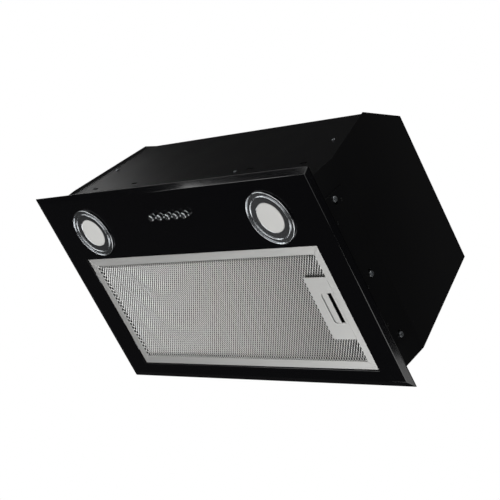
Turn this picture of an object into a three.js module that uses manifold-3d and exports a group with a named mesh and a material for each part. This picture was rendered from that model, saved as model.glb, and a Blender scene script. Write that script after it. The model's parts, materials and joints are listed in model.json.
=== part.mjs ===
// A built-in cooker hood that hangs through a cut-out in the underside of a wall cabinet.
// Millimetres. The origin is the centre of the rim's seat plane, which bears on the cabinet's
// underside: +X runs along the front edge, +Y to the wall, +Z up into the cabinet.
import * as THREE from "three";
import { ConvexGeometry } from "three/addons/geometries/ConvexGeometry.js";
import { mergeVertices } from "three/addons/utils/BufferGeometryUtils.js";
import Module from "manifold-3d";

const wasm = await Module();
wasm.setup();

// ---- Driving dimensions ----
const GAP = 0.3; // left between pieces that touch
const PANEL = { width: 525, depth: 292, bevel: 8, face: -3.5, edge: -0.8, sheet: 1, rim: 14 };
const BODY = {
  half: 247.5, fold: 49, topHalf: 178, bottom: -2.2, top: 243, // seen from the front
  front: -125.5, chamfer: 160, topFront: -76.5, rear: 127.5, // seen from the side
  sheet: 1.1, lip: 2,
};
const FILTER = { width: 438, depth: 170, y: 37, face: -2.1, height: 10, flange: 11, skin: 1 };
const MESH = { recess: 3.4, sheet: 0.8, core: 0.6, corePitch: 14 };
const LATCH = {
  y: 36.5, left: 171, length: 86, window: 17, windowLeft: 186, windowHalf: 21, travel: 6,
  slideHalf: 25, tongueHalf: 16, pocket: 20, pocketHalf: 23,
};
const LAMP = { x: 171, y: -89.4, radius: 34.6, lens: 19.6, neck: 28, hole: 29, can: 25.1, canTop: 20 };
const BUTTON = { pitch: 15.7, y: -105, radius: 4.3, stem: 2, proud: 6.2, travel: 3.5 };
const SWITCH = { half: 40, depth: 11, top: 24 };
const BRACKET = { y: [-97, 99], z: [3, 45], sheet: 1.5, slotsY: [-88, 7, 90], slotZ: 24.5 };
const WALL_SLOTS = [[-200, 50.5], [200, 50.5], [-117, 53], [108, 53]]; // x, z of each middle
const BLOWER = {
  y: -22, z: 115, wheel: 60, blade: 10, // the wheel
  start: 66, end: 89, startAngle: 84, half: 52, wall: 1.2, eye: 50, // the scroll round it
};
const MOTOR = { shaft: 4, radius: 36, cap: 32, from: -62, to: -7 }; // along x, inside the wheel
const OUTLET = { y: 26, radius: 60, wall: 1.5, height: 50, pinAbove: 9, pin: 1.5, leaf: 1 };
const CABLE = [-140, 95]; // x, y of the cable gland in the top plate

const FRONT_Y = BODY.front;
const FACE_TOP = PANEL.face + PANEL.sheet; // the upper side of the panel's sheet
const INSIDE_TOP = BODY.top - BODY.sheet - GAP; // just under the top plate
const INSIDE_REAR = BODY.rear - BODY.sheet - GAP; // just in front of the rear wall

// ---- Finishes ----
const FINISH = {
  glossBlack: [0x0c0c0d, 0.12, 0.2],
  satinBlack: [0x0d0d0e, 0.42, 0.2],
  aluminium: [0xd2d2d0, 0.38, 0.95],
  expandedAluminium: [0xb4b4b2, 0.5, 0.9],
  chrome: [0xcfd2d4, 0.1, 1],
  opal: [0xe6e6e4, 0.5, 0],
  galvanised: [0xa9adb0, 0.45, 0.9],
  blackPlastic: [0x18181a, 0.5, 0],
  whitePlastic: [0xdadad6, 0.5, 0],
  board: [0xe8e8e4, 0.6, 0],
};

const hood = new THREE.Group();

// ---- Making solids ----

// A closed geometry as a manifold solid that faces out.
function solid(geometry) {
  const bare = geometry.clone();
  bare.deleteAttribute("normal");
  bare.deleteAttribute("uv");
  const merged = mergeVertices(bare, 1e-4);
  const corners = merged.index.array;
  const kept = [];
  for (let i = 0; i < corners.length; i += 3) {
    const [a, b, c] = corners.slice(i, i + 3);
    if (a !== b && b !== c && c !== a) kept.push([a, b, c]);
  }
  const make = (triangles) =>
    new wasm.Manifold(
      new wasm.Mesh({
        numProp: 3,
        vertProperties: merged.attributes.position.array,
        triVerts: Uint32Array.from(triangles.flat()),
      }),
    );
  const body = make(kept);
  return body.volume() > 0 ? body : make(kept.map(([a, b, c]) => [a, c, b]));
}

const joined = (first, ...rest) => rest.reduce((sum, next) => sum.add(next), first);
const cut = (body, ...tools) => tools.reduce((left, tool) => left.subtract(tool), body);

// A box from its lowest and highest value on each axis.
function block([x0, x1], [y0, y1], [z0, z1]) {
  const geometry = new THREE.BoxGeometry(x1 - x0, y1 - y0, z1 - z0);
  return solid(geometry.translate((x0 + x1) / 2, (y0 + y1) / 2, (z0 + z1) / 2));
}

// An outline pushed along an axis. Its points are (y, z) along x, (x, z) along y, (x, y) along z.
function prism(axis, outline, from, to, holes = []) {
  const shape = new THREE.Shape(outline.map(([a, b]) => new THREE.Vector2(a, b)));
  shape.holes = holes.map((hole) => new THREE.Path(hole.map(([a, b]) => new THREE.Vector2(a, b))));
  const geometry = new THREE.ExtrudeGeometry(shape, { depth: to - from, bevelEnabled: false });
  const [ex, ey, ez] = [0, 1, 2].map((i) => new THREE.Vector3().setComponent(i, 1));
  const place = new THREE.Matrix4();
  if (axis === "x") place.makeBasis(ey, ez, ex).setPosition(from, 0, 0);
  if (axis === "y") place.makeBasis(ex, ez, ey.clone().negate()).setPosition(0, to, 0);
  if (axis === "z") place.setPosition(0, 0, from);
  return solid(geometry.applyMatrix4(place));
}

// A profile of (radius, height) points turned about a line through a centre along x or z.
function turned(axis, [x, y, z], profile, segments) {
  const points = profile.map(([r, h]) => new THREE.Vector2(r, h));
  const open = profile[0][0] > 0 || profile.at(-1)[0] > 0;
  if (open) points.push(points[0].clone());
  const geometry = new THREE.LatheGeometry(points, segments);
  if (axis === "z") geometry.rotateX(Math.PI / 2);
  else geometry.rotateZ(-Math.PI / 2);
  return solid(geometry.translate(x, y, z));
}

const rod = (axis, centre, radius, from, to, segments = 24) =>
  turned(axis, centre, [[0, from], [radius, from], [radius, to], [0, to]], segments);

const rectangle = (x0, x1, y0, y1) => [[x0, y0], [x1, y0], [x1, y1], [x0, y1]];

function arc(cx, cy, radius, fromDeg, toDeg, steps) {
  return Array.from({ length: steps + 1 }, (_, i) => {
    const a = THREE.MathUtils.degToRad(fromDeg + ((toDeg - fromDeg) * i) / steps);
    return [cx + radius * Math.cos(a), cy + radius * Math.sin(a)];
  });
}

// Names a solid, gives it its finish and hangs it in the hood.
function piece(name, body, finish) {
  const { vertProperties, triVerts } = body.getMesh();
  const indexed = new THREE.BufferGeometry();
  indexed.setAttribute("position", new THREE.BufferAttribute(Float32Array.from(vertProperties), 3));
  indexed.setIndex(new THREE.BufferAttribute(Uint32Array.from(triVerts), 1));
  const geometry = indexed.toNonIndexed();
  geometry.computeVertexNormals();
  const [color, roughness, metalness] = FINISH[finish];
  const mesh = new THREE.Mesh(
    geometry,
    new THREE.MeshStandardMaterial({ color, roughness, metalness }),
  );
  mesh.name = name;
  hood.add(mesh);
}

const SIDES = [["left", -1], ["right", 1]];
const span = (sign, near, far) => [sign * near, sign * far].sort((a, b) => a - b);

// ---- Face panel: a pressed tray with a bevelled rim, and the openings for all it carries ----
function facePanel() {
  const [w, d] = [PANEL.width / 2, PANEL.depth / 2];
  const rings = [
    [w - PANEL.bevel, d - PANEL.bevel, PANEL.face],
    [w, d, PANEL.edge],
    [w, d, 0],
  ];
  const corners = rings.flatMap(([x, y, z]) =>
    [-1, 1].flatMap((sx) => [-1, 1].map((sy) => new THREE.Vector3(sx * x, sy * y, z))),
  );
  const inner = w - PANEL.rim;
  const pocket = block([-inner, inner], [FRONT_Y - BODY.lip - 1, BODY.rear + 1], [FACE_TOP, 5]);
  const through = [PANEL.face - 5, 5];
  const opening = block(
    span(1, -FILTER.width / 2 - 1, FILTER.width / 2 + 1),
    [FILTER.y - FILTER.depth / 2 - 1, FILTER.y + FILTER.depth / 2 + 1],
    through,
  );
  const lampHoles = SIDES.map(([, s]) =>
    rod("z", [s * LAMP.x, LAMP.y, 0], LAMP.hole, ...through, 32),
  );
  const buttonHoles = buttonPlaces().map((x) =>
    rod("z", [x, BUTTON.y, 0], BUTTON.radius + 0.5, ...through, 14),
  );
  piece(
    "face_panel",
    cut(solid(new ConvexGeometry(corners)), pocket, opening, ...lampHoles, ...buttonHoles),
    "glossBlack",
  );
}

// ---- Casing: bent sheets that lean in towards the top ----

// One edge line of a side wall in the x, z plane, moved in by an inset.
const leaning = (inset) => [
  [BODY.half - inset, BODY.bottom],
  [BODY.half - inset, BODY.fold],
  [BODY.topHalf - inset, BODY.top],
];

function casing() {
  const core = leaning(BODY.sheet + GAP);
  const mirrored = core.map(([x, z]) => [-x, z]).reverse();
  const betweenSides = prism("y", [...core, ...mirrored], -200, 200);
  const sheet = BODY.sheet;

  const bend = [
    [FRONT_Y, BODY.bottom],
    [FRONT_Y, BODY.chamfer],
    [BODY.topFront, BODY.top],
  ];
  const bentBack = bend.map(([y, z]) => [y + sheet, z]).reverse();
  const slotAt = (x, z) => block([x - 5, x + 5], [FRONT_Y - 2, FRONT_Y + 3], [z - 1.5, z + 1.5]);
  const slots = WALL_SLOTS.map(([x, z]) => slotAt(x, z));
  const front = prism("x", [...bend, ...bentBack], -250, 250).intersect(betweenSides);
  piece("front_wall", cut(front, ...slots), "satinBlack");

  const rear = block([-250, 250], [BODY.rear - sheet, BODY.rear], [BODY.bottom, BODY.top]);
  piece("rear_wall", rear.intersect(betweenSides), "satinBlack");

  const top = block(
    [-250, 250],
    [BODY.topFront + sheet + GAP, BODY.rear - sheet - GAP],
    [BODY.top - sheet, BODY.top],
  ).intersect(betweenSides);
  const duct = rod("z", [0, OUTLET.y, 0], OUTLET.radius - 2, 200, 260, 40);
  const gland = rod("z", [...CABLE, 0], 8, 200, 260, 20);
  piece("top_plate", cut(top, duct, gland), "satinBlack");

  const outline = [
    [FRONT_Y - BODY.lip, BODY.bottom],
    [FRONT_Y - BODY.lip, BODY.chamfer],
    [BODY.topFront - BODY.lip, BODY.top],
    [BODY.rear, BODY.top],
    [BODY.rear, BODY.bottom],
  ];
  for (const [side, s] of SIDES) {
    const flip = ([x, z]) => [s * x, z];
    const bent = [...leaning(0).map(flip), ...leaning(sheet).map(flip).reverse()];
    const wall = prism("y", bent, FRONT_Y - BODY.lip, BODY.rear);
    piece(`side_wall_${side}`, wall.intersect(prism("x", outline, -260, 260)), "satinBlack");

    const slotsAcross = BRACKET.slotsY.map((y) => [
      ...arc(y - 3, BRACKET.slotZ, 2.4, 90, 270, 4),
      ...arc(y + 3, BRACKET.slotZ, 2.4, -90, 90, 4),
    ]);
    const [near, far] = span(s, BODY.half + GAP, BODY.half + GAP + BRACKET.sheet);
    const bracket = prism("x", rectangle(...BRACKET.y, ...BRACKET.z), near, far, slotsAcross);
    piece(`side_bracket_${side}`, bracket, "satinBlack");
  }
}

// ---- Grease filter cassette, with its sprung slide latch at the right ----
function filterCassette() {
  const [x, y] = [FILTER.width / 2, FILTER.depth / 2];
  const skin = FILTER.skin;
  const low = FILTER.face;
  const high = low + FILTER.height;
  const area = (inset, z) => {
    const across = [-x + inset, x - inset];
    return block(across, [FILTER.y - y + inset, FILTER.y + y - inset], z);
  };
  const tongueSlot = block(
    [x - 5, x + 5],
    [LATCH.y - LATCH.tongueHalf - 1, LATCH.y + LATCH.tongueHalf + 1],
    [low + skin + 0.1, low + skin + 1.9],
  );
  const channel = area(skin, [low + skin, high - skin]);
  const view = area(FILTER.flange, [low - 1, high + 1]);
  piece("filter_frame", cut(area(0, [low, high]), channel, view, tongueSlot), "aluminium");

  // Three layers of mesh lie in the frame's channel, notched from the right round the finger pocket.
  const pocketCut = block(
    [LATCH.windowLeft - 1, x + 1],
    [LATCH.y - LATCH.pocketHalf - 1, LATCH.y + LATCH.pocketHalf + 1],
    [low, high],
  );
  const inset = skin + 0.6;
  const outerLow = low + MESH.recess;
  const innerHigh = high - skin - GAP;
  const outer = area(inset, [outerLow, outerLow + MESH.sheet]);
  const inner = area(inset, [innerHigh - MESH.sheet, innerHigh]);
  piece("mesh_outer", cut(outer, pocketCut), "expandedAluminium");
  piece("mesh_inner", cut(inner, pocketCut), "expandedAluminium");

  const coreLow = outerLow + MESH.sheet + GAP;
  const coreHigh = innerHigh - MESH.sheet - GAP - MESH.core;
  const teeth = Math.floor((2 * (x - inset)) / MESH.corePitch);
  const zigzag = Array.from({ length: 2 * teeth + 1 }, (_, i) => [
    ((i - teeth) * MESH.corePitch) / 2,
    i % 2 ? coreHigh : coreLow,
  ]);
  const upper = zigzag.map(([a, z]) => [a, z + MESH.core]).reverse();
  const core = prism("y", [...zigzag, ...upper], FILTER.y - y + inset, FILTER.y + y - inset);
  piece("mesh_core", cut(core, pocketCut), "expandedAluminium");

  // Two hooks at the left reach over the panel's edge, which they pivot on.
  for (const [place, at] of [["front", FILTER.y - 55], ["rear", FILTER.y + 55]]) {
    const hook = block([-x - 8, -x - GAP], [at - 8, at + 8], [FACE_TOP + 0.4, FACE_TOP + 1.4]);
    piece(`filter_hook_${place}`, hook, "galvanised");
  }
}

function latch() {
  const low = FILTER.face;
  const right = FILTER.width / 2 - FILTER.flange - GAP;
  const half = LATCH.length / 2;
  const [wl, wr] = [LATCH.windowLeft, LATCH.windowLeft + LATCH.window];
  const reach = LATCH.windowHalf;
  const round = 4; // radius of the window's left corners
  const window = [
    [wr, LATCH.y - reach],
    [wr, LATCH.y + reach],
    ...arc(wl + round, LATCH.y + reach - round, round, 90, 180, 4),
    ...arc(wl + round, LATCH.y - reach + round, round, 180, 270, 4),
  ];
  const plate = rectangle(LATCH.left, right, LATCH.y - half, LATCH.y + half);
  piece("latch_plate", prism("z", plate, low, low + 1, [window]), "aluminium");

  // The slide lies behind the plate. Its tongue ends just short of the panel's edge.
  const slideLeft = LATCH.left + LATCH.travel + 4; // the spring keeps 3 mm when fully pressed
  const slideLow = low + FILTER.skin + 0.4;
  const slideHigh = slideLow + 1.1;
  const shoulder = right + 4;
  const tip = FILTER.width / 2 + 0.7;
  const { slideHalf, tongueHalf } = LATCH;
  const slide = [
    [slideLeft, LATCH.y - slideHalf],
    [shoulder, LATCH.y - slideHalf],
    [shoulder, LATCH.y - tongueHalf],
    [tip, LATCH.y - tongueHalf],
    [tip, LATCH.y + tongueHalf],
    [shoulder, LATCH.y + tongueHalf],
    [shoulder, LATCH.y + slideHalf],
    [slideLeft, LATCH.y + slideHalf],
  ];
  const fingerSlot = rectangle(wl + 9.5, wr + 1, LATCH.y - reach + 0.5, LATCH.y + reach - 0.5);
  piece("latch_slider", prism("z", slide, slideLow, slideHigh, [fingerSlot]), "aluminium");

  // A flat wire spring, folded to and fro, pushes the slide to the right.
  const turns = 4;
  const wire = 0.8;
  const reachOfSpring = 8;
  const springLeft = LATCH.left + 1;
  const step = (slideLeft - GAP - springLeft - wire) / (turns - 1);
  const level = [slideLow, slideLow + wire];
  const bars = Array.from({ length: turns }, (_, i) => {
    const at = springLeft + i * step;
    const end = LATCH.y + (i % 2 ? reachOfSpring : -reachOfSpring);
    const across = [LATCH.y - reachOfSpring, LATCH.y + reachOfSpring];
    const bar = block([at, at + wire], across, level);
    const link = block([at, at + step + wire], [end - wire / 2, end + wire / 2], level);
    return i < turns - 1 ? bar.add(link) : bar;
  });
  piece("latch_spring", joined(...bars), "galvanised");

  // The pocket stops a fingertip from touching the mesh. It is open towards the slide.
  const skin = 0.8;
  const pocket = (inset, z) => {
    const across = [wl + 0.5 + inset, wl + 0.5 + LATCH.pocket - inset];
    const reachOfPocket = LATCH.pocketHalf - inset;
    return block(across, [LATCH.y - reachOfPocket, LATCH.y + reachOfPocket], z);
  };
  const pocketLow = slideHigh + 0.4;
  const pocketHigh = low + FILTER.height - 1;
  const hollow = pocket(skin, [pocketLow - 1, pocketHigh - skin]);
  piece("latch_pocket", cut(pocket(0, [pocketLow, pocketHigh]), hollow), "blackPlastic");
}

// ---- Lamps: a stepped ring, an opal lens, and a can held by a ring nut ----
function lamps() {
  const under = PANEL.face - GAP; // where the ring bears on the panel
  const throat = LAMP.lens + GAP;
  const sleeve = LAMP.can + GAP;
  const sleeveTop = 8;
  const ringProfile = [
    [LAMP.neck, under],
    [LAMP.radius, under],
    [LAMP.radius, under - 1.1],
    [LAMP.radius - 1.6, under - 2],
    [LAMP.neck + 1, under - 1.4],
    [LAMP.neck - 1.2, under - 1.8],
    [throat, under - 1],
    [throat, under + 0.4],
    [sleeve, under + 0.4],
    [sleeve, sleeveTop],
    [LAMP.neck, sleeveTop],
  ];
  const lensProfile = [
    [0, under - 1.5], // the lens is slightly domed
    [12, under - 1.3],
    [LAMP.lens - 0.8, under - 0.9],
    [LAMP.lens, under - 0.3],
    [LAMP.lens, under + 1],
    [0, under + 1],
  ];
  const canLow = under + 0.8;
  const canWall = 1.2;
  for (const [side, s] of SIDES) {
    const at = [s * LAMP.x, LAMP.y, 0];
    piece(`lamp_ring_${side}`, turned("z", at, ringProfile, 32), "chrome");
    piece(`lamp_lens_${side}`, turned("z", at, lensProfile, 32), "opal");
    const canBody = rod("z", at, LAMP.can, canLow, LAMP.canTop, 28);
    const canHollow = rod("z", at, LAMP.can - canWall, canLow - 1, LAMP.canTop - canWall, 28);
    piece(`lamp_can_${side}`, cut(canBody, canHollow), "galvanised");
    piece(`lamp_board_${side}`, rod("z", at, LAMP.can - canWall - 0.4, 2, 3.6, 20), "board");
    const nutBody = rod("z", at, LAMP.neck + 4.5, FACE_TOP + GAP, 1.8, 12);
    const nutBore = rod("z", at, LAMP.neck + GAP, -5, 5, 32);
    piece(`lamp_nut_${side}`, cut(nutBody, nutBore), "blackPlastic");
  }
}

// The section of a bent angle in the y, z plane: a wall at y from low to high, and a foot from it.
// A foot of negative length points to -y, and a high end below the low one turns the angle over.
function bentAngle(y, low, foot, high, sheet) {
  const inward = Math.sign(foot) * sheet;
  const up = Math.sign(high - low) * sheet;
  return [
    [y, low],
    [y + foot, low],
    [y + foot, low + up],
    [y + inward, low + up],
    [y + inward, high],
    [y, high],
  ];
}

// ---- Switch row: five plungers that slide up into a block ----
function buttonPlaces() {
  return [-2, -1, 0, 1, 2].map((i) => i * BUTTON.pitch);
}

function switches() {
  const names = ["light", "stop", "speed_1", "speed_2", "speed_3"];
  const tip = PANEL.face - BUTTON.proud;
  const [head, stem] = [BUTTON.radius, BUTTON.stem];
  const [headTop, stemTop] = [1, 14];
  const profile = [
    [0, tip],
    [head - 0.6, tip],
    [head, tip + 0.6],
    [head, headTop],
    [stem, headTop],
    [stem, stemTop],
    [0, stemTop],
  ];
  buttonPlaces().forEach((x, i) => {
    piece(`button_${names[i]}`, turned("z", [x, BUTTON.y, 0], profile, 14), "chrome");
  });
  const low = headTop + BUTTON.travel + 0.9;
  const { half, depth, top } = SWITCH;
  const bores = buttonPlaces().map((x) => rod("z", [x, BUTTON.y, 0], stem + 0.4, 0, top + 1, 10));
  const rear = BUTTON.y + depth;
  const body = block([-half, half], [BUTTON.y - depth, rear], [low, top]);
  piece("switch_block", cut(body, ...bores), "blackPlastic");
  const angle = bentAngle(rear + GAP, FACE_TOP + GAP, 12, top, 1.2);
  piece("switch_bracket", prism("x", angle, -half, half), "galvanised");
}

// ---- Blower: a scroll split down the middle, a double-inlet wheel and the motor inside it ----

// The scroll's outline in the y, z plane: a spiral that opens into a straight chimney.
function scrollOutline(inset, top) {
  const from = BLOWER.startAngle;
  const steps = 30;
  const spiral = Array.from({ length: steps + 1 }, (_, i) => {
    const t = i / steps;
    const a = THREE.MathUtils.degToRad(from + (360 - from) * t);
    const r = BLOWER.start + (BLOWER.end - BLOWER.start) * t - inset;
    return [BLOWER.y + r * Math.cos(a), BLOWER.z + r * Math.sin(a)];
  });
  const throat = spiral[0][0] + inset;
  const step = inset > 0 ? [[throat, spiral[0][1]]] : [];
  return [...spiral, [BLOWER.y + BLOWER.end - inset, top], [throat, top], ...step];
}

function scroll() {
  const { half, wall } = BLOWER;
  const centre = [0, BLOWER.y, BLOWER.z];
  for (const [side, s] of SIDES) {
    const outer = prism("x", scrollOutline(0, INSIDE_TOP), ...span(s, GAP / 2, half));
    const inner = prism("x", scrollOutline(wall, INSIDE_TOP + 10), ...span(s, -1, half - wall));
    const eye = rod("x", centre, BLOWER.eye, -80, 80, 32);
    piece(`scroll_shell_${side}`, cut(outer, inner, eye), "galvanised");
    const flange = half + GAP;
    const bell = BLOWER.eye - 3;
    const lip = [
      [bell - 2, half - 6],
      [bell, half - 6],
      [bell, flange],
      [BLOWER.eye + 10, flange],
      [BLOWER.eye + 10, flange + 1.2],
      [bell - 2, flange + 1.2],
    ];
    const mouth = turned("x", centre, lip.map(([r, h]) => [r, s * h]), 32);
    piece(`inlet_ring_${side}`, mouth, "blackPlastic");
  }
  const throat = BLOWER.start * Math.cos(THREE.MathUtils.degToRad(BLOWER.startAngle));
  const hangers = [
    ["front", BLOWER.y + throat - GAP - 0.1, -22],
    ["rear", BLOWER.y + BLOWER.end + GAP, 22],
  ];
  for (const [place, y, foot] of hangers) {
    const angle = bentAngle(y, INSIDE_TOP, foot, 205, 1.5);
    piece(`blower_hanger_${place}`, prism("x", angle, -30, 30), "galvanised");
  }
}

function wheelAndMotor() {
  const centre = [0, BLOWER.y, BLOWER.z];
  const tip = BLOWER.wheel;
  const root = tip - BLOWER.blade;
  const half = BLOWER.half - 10;
  const blades = 24;
  const rings = [[-half, -half + 2], [half - 2, half]].map(([a, b]) =>
    turned("x", centre, [[root, a], [tip, a], [tip, b], [root, b]], 32),
  );
  const disc = rod("x", centre, root + 2, -1, 1, 24);
  const hub = rod("x", centre, MOTOR.shaft + 5, -4, 14, 20);
  const bladeSet = Array.from({ length: blades }, (_, i) => {
    const a = (2 * Math.PI * i) / blades;
    const at = (r, turn) => [
      BLOWER.y + r * Math.cos(a + turn),
      BLOWER.z + r * Math.sin(a + turn),
    ];
    const swept = [
      [root + 0.2, 0],
      [tip - 0.2, 0.1],
      [tip - 0.2, 0.12],
      [root + 0.2, 0.02],
    ];
    return prism("x", swept.map(([r, turn]) => at(r, turn)), -half + 1, half - 1);
  });
  const bore = rod("x", centre, MOTOR.shaft + GAP, -10, 20, 16);
  piece("impeller", cut(joined(disc, hub, ...rings, ...bladeSet), bore), "blackPlastic");
  piece("motor_shaft", rod("x", centre, MOTOR.shaft, MOTOR.from - 6, 18, 16), "galvanised");

  const washer = (inside, r, a, b) =>
    turned("x", centre, [[inside, a], [r, a], [r, b], [inside, b]], 24);
  const clear = MOTOR.shaft + GAP;
  const [capInner, capOuter] = [MOTOR.to - 7.7, MOTOR.from + 6.7];
  const stator = washer(clear, MOTOR.radius, capOuter + GAP, capInner - GAP);
  piece("motor_cap_inner", washer(clear, MOTOR.cap, capInner, MOTOR.to), "galvanised");
  piece("motor_stator", stator, "galvanised");
  piece("motor_cap_outer", washer(clear, MOTOR.cap, MOTOR.from, capOuter), "galvanised");

  // The cradle's three legs stand on the left inlet ring.
  const plane = [MOTOR.from - 3, MOTOR.from - GAP];
  const ring = washer(12, MOTOR.cap - 2, ...plane);
  const width = [BLOWER.y - 6, BLOWER.y + 6];
  const end = BLOWER.z + BLOWER.eye + 9;
  const arms = [0, 120, 240].map((degrees) => {
    const arm = block(plane, width, [BLOWER.z + 20, end]);
    const footTo = -BLOWER.half - 1.5 - 2 * GAP;
    const foot = block([plane[0], footTo], width, [BLOWER.z + BLOWER.eye, end]);
    return turnedAbout(arm.add(foot), centre, degrees);
  });
  piece("motor_cradle", joined(ring, ...arms), "galvanised");
}

// A solid turned about a line along x through a centre.
function turnedAbout(body, [x, y, z], degrees) {
  return body.translate([-x, -y, -z]).rotate([degrees, 0, 0]).translate([x, y, z]);
}

// ---- Electrical pieces on the rear wall ----
function electrics() {
  const rear = INSIDE_REAR;
  const radius = 16;
  const canister = [125, rear - radius - 3, 0];
  piece("capacitor", rod("z", canister, radius, 120, 175, 24), "whitePlastic");
  const level = [138, 150];
  const band = rod("z", canister, radius + 1.8, ...level, 24);
  const foot = block([canister[0] - radius, canister[0] + radius], [rear - 4, rear], level);
  const inside = rod("z", canister, radius + GAP, level[0] - 1, level[1] + 1, 24);
  piece("capacitor_clip", cut(joined(band, foot), inside), "galvanised");

  const [x, z, depth, wall] = [[-150, -70], [110, 180], 30, 1.5];
  const hollow = block(
    [x[0] + wall, x[1] - wall],
    [rear - depth - 1, rear - wall],
    [z[0] + wall, z[1] - wall],
  );
  piece("terminal_box", cut(block(x, [rear - depth, rear], z), hollow), "blackPlastic");
  const lid = block(x, [rear - depth - 2, rear - depth - GAP], z);
  piece("terminal_box_lid", lid, "blackPlastic");
  piece("lamp_driver", block([-40, 40], [rear - 18, rear], [58, 88]), "whitePlastic");

  const seat = BODY.top + GAP;
  const sleeve = [
    [4, BODY.top - 7],
    [7.7, BODY.top - 7],
    [7.7, seat],
    [12, seat],
    [12, BODY.top + 3],
    [8.5, BODY.top + 5],
    [7, BODY.top + 13],
    [4, BODY.top + 13],
  ];
  piece("cable_gland", turned("z", [...CABLE, 0], sleeve, 20), "blackPlastic");
}

// ---- Outlet collar with two non-return flaps on one pin ----
function outlet() {
  const { radius, wall, height } = OUTLET;
  const base = BODY.top + GAP;
  const inside = radius - wall;
  const pinZ = BODY.top + OUTLET.pinAbove;
  const ledge = pinZ - 1.8; // the closed flaps rest just above it
  const profile = [
    [inside - 3, base],
    [radius + 10, base],
    [radius + 10, base + wall],
    [radius, base + wall],
    [radius, BODY.top + height],
    [inside, BODY.top + height],
    [inside, ledge],
    [inside - 3, ledge],
  ];
  const at = [0, OUTLET.y, 0];
  piece("outlet_collar", turned("z", at, profile, 40), "blackPlastic");
  const pinAt = [0, OUTLET.y, pinZ];
  const pin = rod("x", pinAt, OUTLET.pin, -inside + 1, inside - 1, 12);
  piece("flap_pin", pin, "galvanised");

  // Each leaf hangs on the pin by two eyes, and the two leaves' eyes lie side by side.
  const level = [pinZ - OUTLET.leaf / 2, pinZ + OUTLET.leaf / 2];
  for (const [place, s, eyeX, from] of [["front", -1, 34, 184], ["rear", 1, 20, 4]]) {
    const leaf = prism("z", arc(0, OUTLET.y, inside - 1, from, from + 172, 20), ...level);
    const eyes = [-eyeX, eyeX].map((x) => {
      const along = [x - 5, x + 5];
      const web = block(along, [OUTLET.y + s * 2.2, OUTLET.y + s * 6].sort((a, b) => a - b), level);
      const bore = rod("x", pinAt, OUTLET.pin + GAP, x - 6, x + 6, 16);
      return cut(joined(rod("x", pinAt, 2 * OUTLET.pin, ...along, 16), web), bore);
    });
    piece(`flap_${place}`, joined(leaf, ...eyes), "blackPlastic");
  }
}

facePanel();
casing();
filterCassette();
latch();
lamps();
switches();
scroll();
wheelAndMotor();
electrics();
outlet();

export default hood;
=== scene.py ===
# %% [markdown]
# # A built-in cooker hood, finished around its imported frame
#
# The hood hangs through a cut-out in the underside of a wall cabinet, so its face looks down.
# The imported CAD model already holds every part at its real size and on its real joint. This
# lesson gives each part the edges, rounds, mesh and finishes that a maker's tools would leave.
# Everything is in metres in the CAD frame: +X along the front edge, +Y to the wall, +Z up.

# %% Load the frame
import json
import math

import bmesh
import bpy
from mathutils import Matrix, Vector


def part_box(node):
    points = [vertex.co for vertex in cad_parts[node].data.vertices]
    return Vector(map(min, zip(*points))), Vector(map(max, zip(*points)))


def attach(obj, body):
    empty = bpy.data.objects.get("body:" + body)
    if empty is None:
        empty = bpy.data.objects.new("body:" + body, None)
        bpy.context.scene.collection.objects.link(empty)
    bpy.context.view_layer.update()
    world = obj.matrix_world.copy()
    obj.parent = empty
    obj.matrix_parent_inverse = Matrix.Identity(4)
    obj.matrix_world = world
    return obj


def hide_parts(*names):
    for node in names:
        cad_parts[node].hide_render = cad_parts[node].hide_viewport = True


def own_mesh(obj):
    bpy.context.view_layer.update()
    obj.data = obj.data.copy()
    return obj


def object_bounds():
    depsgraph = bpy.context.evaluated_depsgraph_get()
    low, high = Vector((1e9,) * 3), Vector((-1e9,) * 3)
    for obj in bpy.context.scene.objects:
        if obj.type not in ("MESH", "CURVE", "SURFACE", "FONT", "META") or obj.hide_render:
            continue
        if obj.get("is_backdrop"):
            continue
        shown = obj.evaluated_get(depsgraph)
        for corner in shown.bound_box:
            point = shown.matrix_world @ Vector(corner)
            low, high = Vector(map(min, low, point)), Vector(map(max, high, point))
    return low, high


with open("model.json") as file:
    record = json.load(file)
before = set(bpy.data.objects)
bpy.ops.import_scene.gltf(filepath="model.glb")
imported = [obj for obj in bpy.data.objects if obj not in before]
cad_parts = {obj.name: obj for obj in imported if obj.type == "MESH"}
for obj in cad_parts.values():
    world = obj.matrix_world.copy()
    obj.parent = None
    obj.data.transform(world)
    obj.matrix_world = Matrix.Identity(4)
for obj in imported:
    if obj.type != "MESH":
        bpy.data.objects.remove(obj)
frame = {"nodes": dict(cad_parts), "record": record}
cad_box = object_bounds()
record = frame["record"]
BODY_OF = {n: body for body, nodes in record["behaviour"]["bodies"].items() for n in nodes}
SLOT_OF = {part["node"]: part["material_slot"] for part in record["subparts"]}
MM = 0.001

# %% [markdown]
# ## Camera
#
# The hood is seen from below and from its right end, with a long lens so that its parallel
# edges stay nearly parallel. The camera is placed and aimed as a person would do it: a
# position, a point to look at, and then a roll about the line of sight. A track quaternion
# gives the level camera, and the roll is one more turn about its own Z axis.

# %% Camera
CAMERA_AT = Vector((1.3282, -0.6031, -0.9316))
CAMERA_AIM = Vector((-0.0084, 0.0047, 0.0861))
CAMERA_ROLL = math.radians(47.9)

camera_data = bpy.data.cameras.new("camera")
camera_data.lens = 100.97
camera_data.sensor_width = 36
camera = bpy.data.objects.new("camera", camera_data)
bpy.context.scene.collection.objects.link(camera)
level = (CAMERA_AIM - CAMERA_AT).to_track_quat("-Z", "Y").to_matrix().to_4x4()
camera.matrix_world = Matrix.Translation(CAMERA_AT) @ level @ Matrix.Rotation(CAMERA_ROLL, 4, "Z")
bpy.context.scene.camera = camera
print("camera", round((CAMERA_AIM - CAMERA_AT).length, 3), "m from its aim")

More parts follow.
